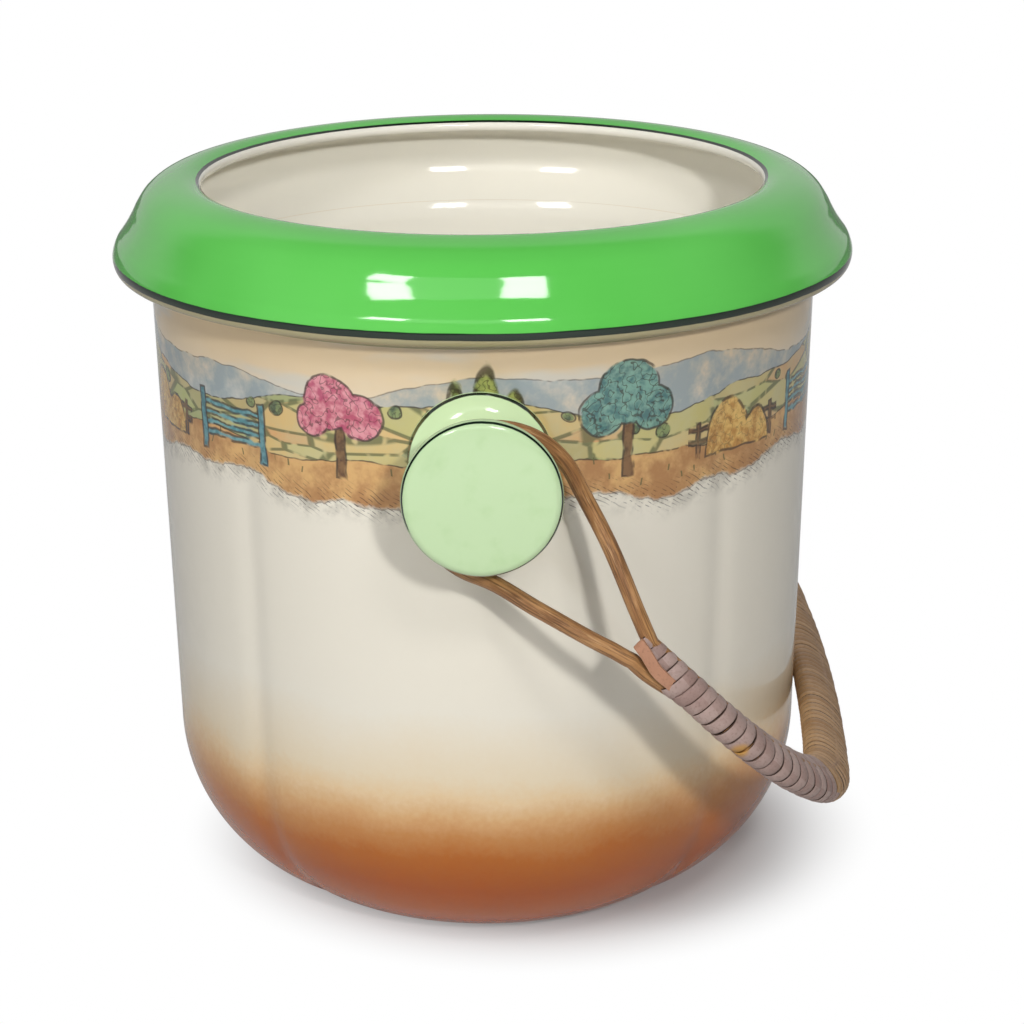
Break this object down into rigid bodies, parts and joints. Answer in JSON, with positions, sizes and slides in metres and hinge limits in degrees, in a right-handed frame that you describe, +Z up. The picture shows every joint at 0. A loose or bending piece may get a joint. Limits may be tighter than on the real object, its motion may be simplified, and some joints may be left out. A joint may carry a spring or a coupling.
{
  "type": "slop jar",
  "caption": "Lobed glazed earthenware pail with a domed collar and a cane-bound bail handle that swings on spool knobs, for holding and carrying household slops.",
  "frame": {"origin": "centre of the foot, on the table", "axes": "+Z up; Y along the hinge of the bail, front knob at -Y; the bail rests on the +X side"},
  "size_m": [0.2904, 0.3622, 0.2905],
  "materials": {
    "cream_glaze": "gloss",
    "green_glaze": "gloss",
    "pale_green_glaze": "gloss",
    "cane": "satin",
    "front_strip": "satin",
    "back_strip": "satin",
    "slip_cane": "satin"
  },
  "bodies": {
    "jar": {"jar_body": "cream_glaze", "rim_collar": "green_glaze", "front_knob": "pale_green_glaze", "back_knob": "pale_green_glaze"},
    "bail": {"front_cane": "cane", "back_cane": "cane", "inner_packing_cane": "cane", "outer_packing_cane": "cane", "front_binding": "front_strip", "back_binding": "back_strip", "front_locking_slip": "slip_cane", "back_locking_slip": "slip_cane"}
  },
  "joints": [
    {"name": "bail_swing", "type": "hinge", "parent": "jar", "child": "bail", "pos_m": [0, 0, 0.2079], "axis": [0, -1, 0], "range_deg": [0, 268.8]}
  ]
}
